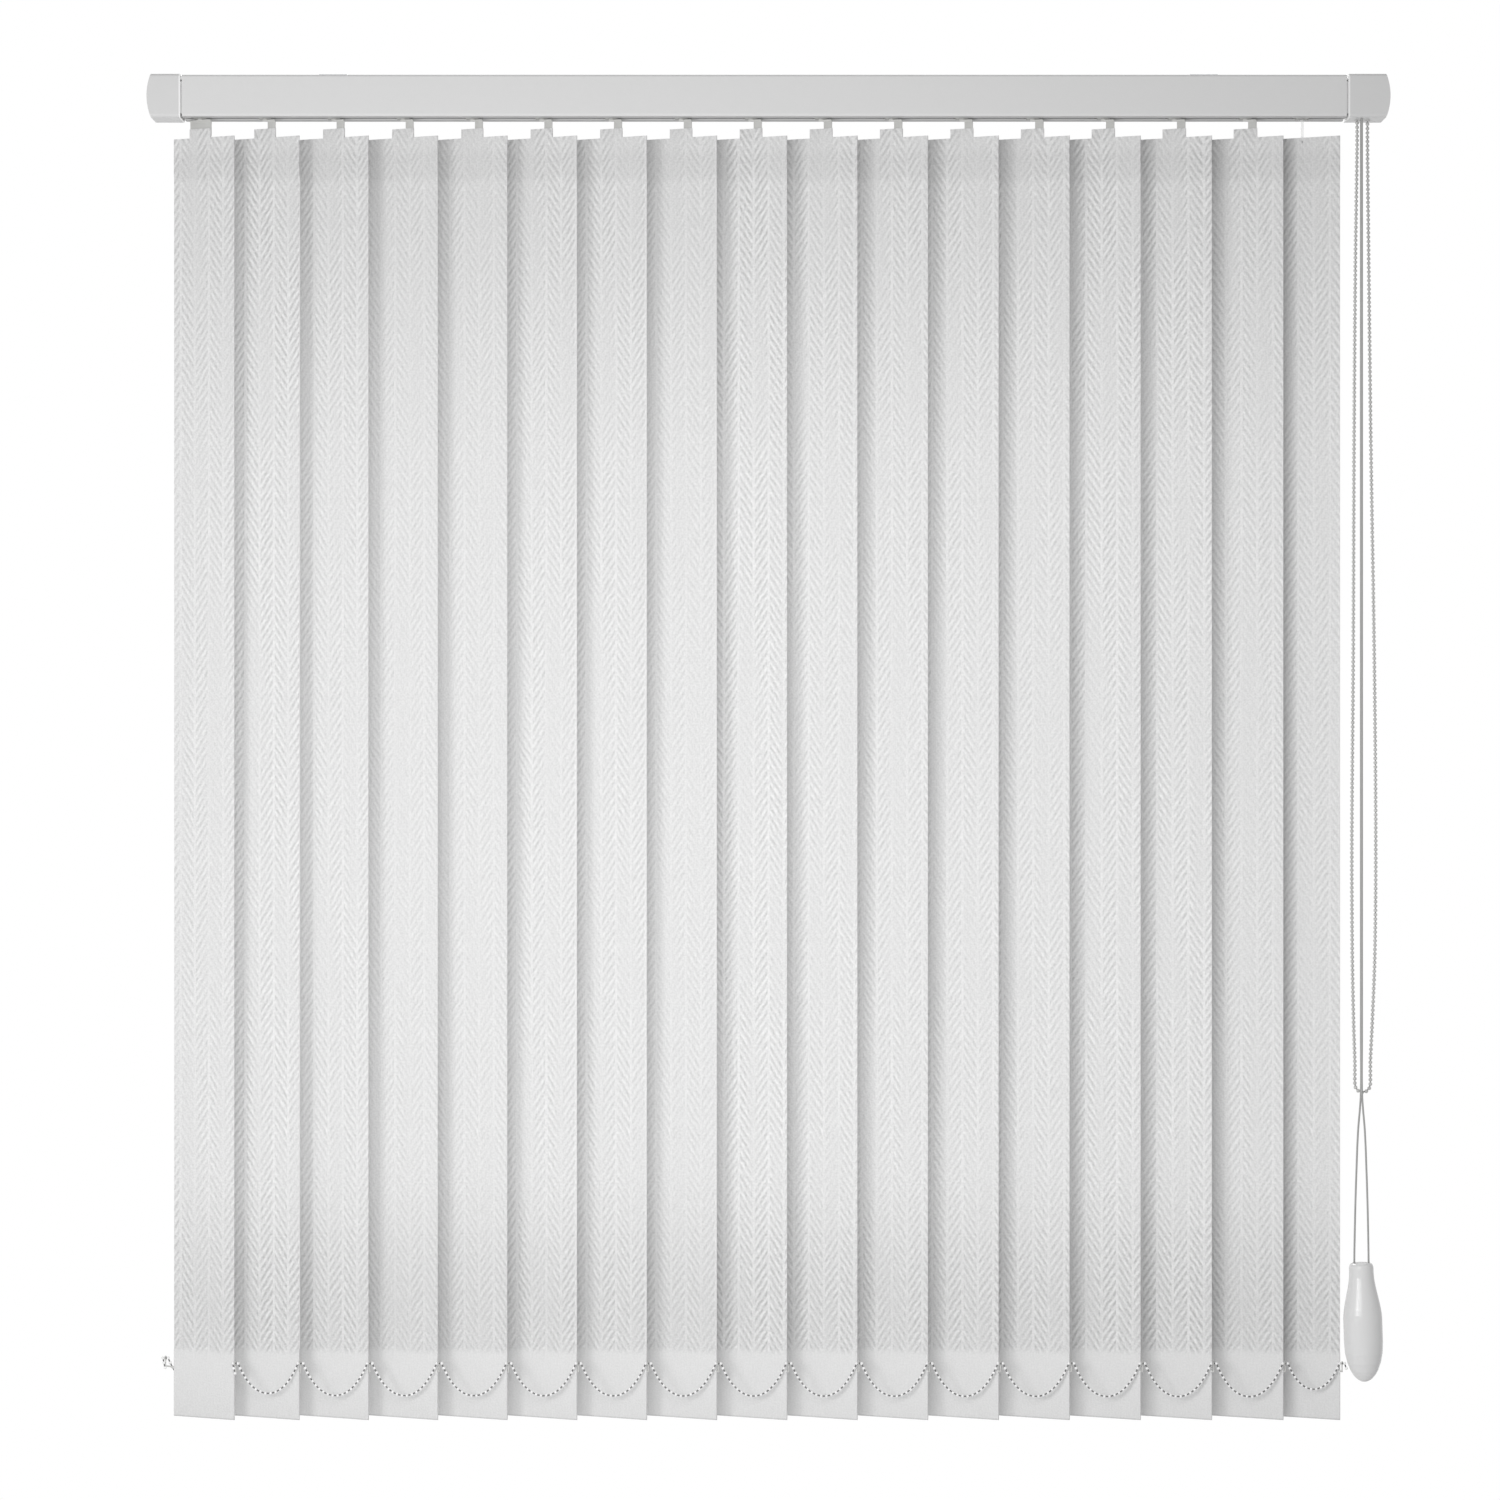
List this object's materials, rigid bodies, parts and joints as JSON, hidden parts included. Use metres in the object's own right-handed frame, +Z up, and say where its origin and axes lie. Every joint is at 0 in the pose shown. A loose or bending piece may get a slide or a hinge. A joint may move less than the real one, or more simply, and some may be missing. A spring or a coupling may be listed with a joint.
{
  "type": "vertical blind",
  "caption": "Vertical blind with tilting herringbone fabric vanes on a traversing headrail, linked at the bottom by bead chains, with a tilt chain and a weighted draw cord.",
  "frame": {"origin": "middle of the face that the two top clips screw to, centred over the headrail", "axes": "+X along the headrail towards the controls, -Y towards the room, +Z up"},
  "size_m": [1.425, 0.0544, 1.5444],
  "materials": {
    "rail": "white powder coat",
    "cap": "satin moulded",
    "clip": "zinc plated",
    "rod": "mill finish",
    "gear": "moulded",
    "pin": "turned",
    "cord": "braided",
    "chain": "moulded beads on thread",
    "weight": "satin gloss",
    "carrier": "moulded",
    "vane": "stiffened herringbone weave"
  },
  "bodies": {
    "headrail": {"headrail": "rail", "end_cap_left": "cap", "end_cap_right": "cap", "top_clip_left": "clip", "top_clip_right": "clip", "cord_axle": "pin", "return_pin": "pin", "rail_cord": "cord", "draw_cord": "cord", "tilt_chain": "chain", "cord_weight": "weight", "weight_pin": "pin", "carrier_17": "carrier"},
    "tilt_rod": {"tilt_rod": "rod", "rod_gear": "gear"},
    "chain_wheel": {"chain_wheel": "gear"},
    "cord_pulley_rear": {"cord_pulley_rear": "gear"},
    "cord_pulley_front": {"cord_pulley_front": "gear"},
    "return_pulley": {"return_pulley": "gear"},
    "weight_pulley": {"weight_pulley": "gear"},
    "front_chain": {"front_chain": "chain"},
    "rear_chain": {"rear_chain": "chain"},
    "carrier_01": {"carrier_01": "carrier"},
    "carrier_02": {"carrier_02": "carrier"},
    "carrier_03": {"carrier_03": "carrier"},
    "carrier_04": {"carrier_04": "carrier"},
    "carrier_05": {"carrier_05": "carrier"},
    "carrier_06": {"carrier_06": "carrier"},
    "carrier_07": {"carrier_07": "carrier"},
    "carrier_08": {"carrier_08": "carrier"},
    "carrier_09": {"carrier_09": "carrier"},
    "carrier_10": {"carrier_10": "carrier"},
    "carrier_11": {"carrier_11": "carrier"},
    "carrier_12": {"carrier_12": "carrier"},
    "carrier_13": {"carrier_13": "carrier"},
    "carrier_14": {"carrier_14": "carrier"},
    "carrier_15": {"carrier_15": "carrier"},
    "carrier_16": {"carrier_16": "carrier"},
    "vane_01": {"vane_01": "vane"},
    "vane_02": {"vane_02": "vane"},
    "vane_03": {"vane_03": "vane"},
    "vane_04": {"vane_04": "vane"},
    "vane_05": {"vane_05": "vane"},
    "vane_06": {"vane_06": "vane"},
    "vane_07": {"vane_07": "vane"},
    "vane_08": {"vane_08": "vane"},
    "vane_09": {"vane_09": "vane"},
    "vane_10": {"vane_10": "vane"},
    "vane_11": {"vane_11": "vane"},
    "vane_12": {"vane_12": "vane"},
    "vane_13": {"vane_13": "vane"},
    "vane_14": {"vane_14": "vane"},
    "vane_15": {"vane_15": "vane"},
    "vane_16": {"vane_16": "vane"},
    "vane_17": {"vane_17": "vane"}
  },
  "joints": [
    {"name": "carrier_01_slide", "type": "slide", "parent": "headrail", "child": "carrier_01", "axis": [1, 0, 0], "range_m": [0, 0.9479], "deforming": ["front_chain", "rear_chain"]},
    {"name": "carrier_02_slide", "type": "slide", "parent": "headrail", "child": "carrier_02", "axis": [1, 0, 0], "range_m": [0, 0.8934]},
    {"name": "carrier_03_slide", "type": "slide", "parent": "headrail", "child": "carrier_03", "axis": [1, 0, 0], "range_m": [0, 0.8341]},
    {"name": "carrier_04_slide", "type": "slide", "parent": "headrail", "child": "carrier_04", "axis": [1, 0, 0], "range_m": [0, 0.7746]},
    {"name": "carrier_05_slide", "type": "slide", "parent": "headrail", "child": "carrier_05", "axis": [1, 0, 0], "range_m": [0, 0.7149]},
    {"name": "carrier_06_slide", "type": "slide", "parent": "headrail", "child": "carrier_06", "axis": [1, 0, 0], "range_m": [0, 0.655]},
    {"name": "carrier_07_slide", "type": "slide", "parent": "headrail", "child": "carrier_07", "axis": [1, 0, 0], "range_m": [0, 0.5949]},
    {"name": "carrier_08_slide", "type": "slide", "parent": "headrail", "child": "carrier_08", "axis": [1, 0, 0], "range_m": [0, 0.5346]},
    {"name": "carrier_09_slide", "type": "slide", "parent": "headrail", "child": "carrier_09", "axis": [1, 0, 0], "range_m": [0, 0.4741]},
    {"name": "carrier_10_slide", "type": "slide", "parent": "headrail", "child": "carrier_10", "axis": [1, 0, 0], "range_m": [0, 0.4134]},
    {"name": "carrier_11_slide", "type": "slide", "parent": "headrail", "child": "carrier_11", "axis": [1, 0, 0], "range_m": [0, 0.3525]},
    {"name": "carrier_12_slide", "type": "slide", "parent": "headrail", "child": "carrier_12", "axis": [1, 0, 0], "range_m": [0, 0.2914]},
    {"name": "carrier_13_slide", "type": "slide", "parent": "headrail", "child": "carrier_13", "axis": [1, 0, 0], "range_m": [0, 0.2301]},
    {"name": "carrier_14_slide", "type": "slide", "parent": "headrail", "child": "carrier_14", "axis": [1, 0, 0], "range_m": [0, 0.1686]},
    {"name": "carrier_15_slide", "type": "slide", "parent": "headrail", "child": "carrier_15", "axis": [1, 0, 0], "range_m": [0, 0.1069]},
    {"name": "carrier_16_slide", "type": "slide", "parent": "headrail", "child": "carrier_16", "axis": [1, 0, 0], "range_m": [0, 0.045]},
    {"name": "vane_01_tilt", "type": "hinge", "parent": "carrier_01", "child": "vane_01", "pos_m": [-0.6538, 0, -0.06], "axis": [0, 0, -1], "range_deg": [-10, 143]},
    {"name": "vane_02_tilt", "type": "hinge", "parent": "carrier_02", "child": "vane_02", "pos_m": [-0.5793, 0, -0.06], "axis": [0, 0, -1], "range_deg": [-10, 143]},
    {"name": "vane_03_tilt", "type": "hinge", "parent": "carrier_03", "child": "vane_03", "pos_m": [-0.5, 0, -0.06], "axis": [0, 0, -1], "range_deg": [-10, 143]},
    {"name": "vane_04_tilt", "type": "hinge", "parent": "carrier_04", "child": "vane_04", "pos_m": [-0.4205, 0, -0.06], "axis": [0, 0, -1], "range_deg": [-10, 143]},
    {"name": "vane_05_tilt", "type": "hinge", "parent": "carrier_05", "child": "vane_05", "pos_m": [-0.3408, 0, -0.06], "axis": [0, 0, -1], "range_deg": [-10, 143]},
    {"name": "vane_06_tilt", "type": "hinge", "parent": "carrier_06", "child": "vane_06", "pos_m": [-0.2609, 0, -0.06], "axis": [0, 0, -1], "range_deg": [-10, 143]},
    {"name": "vane_07_tilt", "type": "hinge", "parent": "carrier_07", "child": "vane_07", "pos_m": [-0.1808, 0, -0.06], "axis": [0, 0, -1], "range_deg": [-10, 143]},
    {"name": "vane_08_tilt", "type": "hinge", "parent": "carrier_08", "child": "vane_08", "pos_m": [-0.1005, 0, -0.06], "axis": [0, 0, -1], "range_deg": [-10, 143]},
    {"name": "vane_09_tilt", "type": "hinge", "parent": "carrier_09", "child": "vane_09", "pos_m": [-0.02, 0, -0.06], "axis": [0, 0, -1], "range_deg": [-10, 143]},
    {"name": "vane_10_tilt", "type": "hinge", "parent": "carrier_10", "child": "vane_10", "pos_m": [0.0607, 0, -0.06], "axis": [0, 0, -1], "range_deg": [-10, 143]},
    {"name": "vane_11_tilt", "type": "hinge", "parent": "carrier_11", "child": "vane_11", "pos_m": [0.1416, 0, -0.06], "axis": [0, 0, -1], "range_deg": [-10, 143]},
    {"name": "vane_12_tilt", "type": "hinge", "parent": "carrier_12", "child": "vane_12", "pos_m": [0.2227, 0, -0.06], "axis": [0, 0, -1], "range_deg": [-10, 143]},
    {"name": "vane_13_tilt", "type": "hinge", "parent": "carrier_13", "child": "vane_13", "pos_m": [0.304, 0, -0.06], "axis": [0, 0, -1], "range_deg": [-10, 143]},
    {"name": "vane_14_tilt", "type": "hinge", "parent": "carrier_14", "child": "vane_14", "pos_m": [0.3855, 0, -0.06], "axis": [0, 0, -1], "range_deg": [-10, 143]},
    {"name": "vane_15_tilt", "type": "hinge", "parent": "carrier_15", "child": "vane_15", "pos_m": [0.4672, 0, -0.06], "axis": [0, 0, -1], "range_deg": [-10, 143]},
    {"name": "vane_16_tilt", "type": "hinge", "parent": "carrier_16", "child": "vane_16", "pos_m": [0.5491, 0, -0.06], "axis": [0, 0, -1], "range_deg": [-10, 143]},
    {"name": "vane_17_tilt", "type": "hinge", "parent": "headrail", "child": "vane_17", "pos_m": [0.6141, 0, -0.06], "axis": [0, 0, -1], "range_deg": [-10, 143]},
    {"name": "tilt_rod_turn", "type": "hinge", "parent": "headrail", "child": "tilt_rod", "pos_m": [0, 0.011, -0.0284], "axis": [1, 0, 0], "range_deg": [-120, 1716]},
    {"name": "chain_wheel_turn", "type": "hinge", "parent": "headrail", "child": "chain_wheel", "pos_m": [0.6835, 0, -0.0284], "axis": [0, 1, 0], "range_deg": [-1716, 120]},
    {"name": "front_chain_swing", "type": "hinge", "parent": "vane_17", "child": "front_chain", "pos_m": [0.65717, -0.0202, -1.48], "axis": [0, 0, -1], "range_deg": [-143, 10]},
    {"name": "rear_chain_swing", "type": "hinge", "parent": "vane_17", "child": "rear_chain", "pos_m": [0.57103, 0.0202, -1.48], "axis": [0, 0, -1], "range_deg": [-143, 10]},
    {"name": "cord_pulley_rear_turn", "type": "hinge", "parent": "headrail", "child": "cord_pulley_rear", "pos_m": [0.675, -0.0062, -0.0274], "axis": [0, 1, 0], "range_deg": [0, 9051.79]},
    {"name": "cord_pulley_front_turn", "type": "hinge", "parent": "headrail", "child": "cord_pulley_front", "pos_m": [0.675, -0.0142, -0.0274], "axis": [0, 1, 0], "range_deg": [-9051.79, 0]},
    {"name": "return_pulley_turn", "type": "hinge", "parent": "headrail", "child": "return_pulley", "pos_m": [-0.69, -0.0102, -0.0214], "axis": [0, 0, 1], "range_deg": [-13577.68, 0]},
    {"name": "weight_pulley_turn", "type": "hinge", "parent": "headrail", "child": "weight_pulley", "pos_m": [0.68096, -0.0102, -1.37999], "axis": [0, 1, 0], "range_deg": [-6543.46, 0]}
  ],
  "couplings": [
    {"joint": "carrier_02_slide", "follows": "carrier_01_slide", "ratio": 0.9425},
    {"joint": "carrier_03_slide", "follows": "carrier_01_slide", "ratio": 0.87994},
    {"joint": "carrier_04_slide", "follows": "carrier_01_slide", "ratio": 0.81717},
    {"joint": "carrier_05_slide", "follows": "carrier_01_slide", "ratio": 0.75419},
    {"joint": "carrier_06_slide", "follows": "carrier_01_slide", "ratio": 0.691},
    {"joint": "carrier_07_slide", "follows": "carrier_01_slide", "ratio": 0.6276},
    {"joint": "carrier_08_slide", "follows": "carrier_01_slide", "ratio": 0.56398},
    {"joint": "carrier_09_slide", "follows": "carrier_01_slide", "ratio": 0.50016},
    {"joint": "carrier_10_slide", "follows": "carrier_01_slide", "ratio": 0.43612},
    {"joint": "carrier_11_slide", "follows": "carrier_01_slide", "ratio": 0.37188},
    {"joint": "carrier_12_slide", "follows": "carrier_01_slide", "ratio": 0.30742},
    {"joint": "carrier_13_slide", "follows": "carrier_01_slide", "ratio": 0.24275},
    {"joint": "carrier_14_slide", "follows": "carrier_01_slide", "ratio": 0.17787},
    {"joint": "carrier_15_slide", "follows": "carrier_01_slide", "ratio": 0.11278},
    {"joint": "carrier_16_slide", "follows": "carrier_01_slide", "ratio": 0.047473},
    {"joint": "vane_02_tilt", "follows": "vane_01_tilt", "ratio": 1},
    {"joint": "vane_03_tilt", "follows": "vane_01_tilt", "ratio": 1},
    {"joint": "vane_04_tilt", "follows": "vane_01_tilt", "ratio": 1},
    {"joint": "vane_05_tilt", "follows": "vane_01_tilt", "ratio": 1},
    {"joint": "vane_06_tilt", "follows": "vane_01_tilt", "ratio": 1},
    {"joint": "vane_07_tilt", "follows": "vane_01_tilt", "ratio": 1},
    {"joint": "vane_08_tilt", "follows": "vane_01_tilt", "ratio": 1},
    {"joint": "vane_09_tilt", "follows": "vane_01_tilt", "ratio": 1},
    {"joint": "vane_10_tilt", "follows": "vane_01_tilt", "ratio": 1},
    {"joint": "vane_11_tilt", "follows": "vane_01_tilt", "ratio": 1},
    {"joint": "vane_12_tilt", "follows": "vane_01_tilt", "ratio": 1},
    {"joint": "vane_13_tilt", "follows": "vane_01_tilt", "ratio": 1},
    {"joint": "vane_14_tilt", "follows": "vane_01_tilt", "ratio": 1},
    {"joint": "vane_15_tilt", "follows": "vane_01_tilt", "ratio": 1},
    {"joint": "vane_16_tilt", "follows": "vane_01_tilt", "ratio": 1},
    {"joint": "vane_17_tilt", "follows": "vane_01_tilt", "ratio": 1},
    {"joint": "tilt_rod_turn", "follows": "vane_01_tilt", "ratio": 12},
    {"joint": "chain_wheel_turn", "follows": "vane_01_tilt", "ratio": -12},
    {"joint": "front_chain_swing", "follows": "vane_01_tilt", "ratio": -1},
    {"joint": "rear_chain_swing", "follows": "vane_01_tilt", "ratio": -1},
    {"joint": "cord_pulley_rear_turn", "follows": "carrier_01_slide", "rad_per_m": 166.67},
    {"joint": "cord_pulley_front_turn", "follows": "carrier_01_slide", "rad_per_m": -166.67},
    {"joint": "return_pulley_turn", "follows": "carrier_01_slide", "rad_per_m": -250},
    {"joint": "weight_pulley_turn", "follows": "carrier_01_slide", "rad_per_m": -120.48}
  ]
}
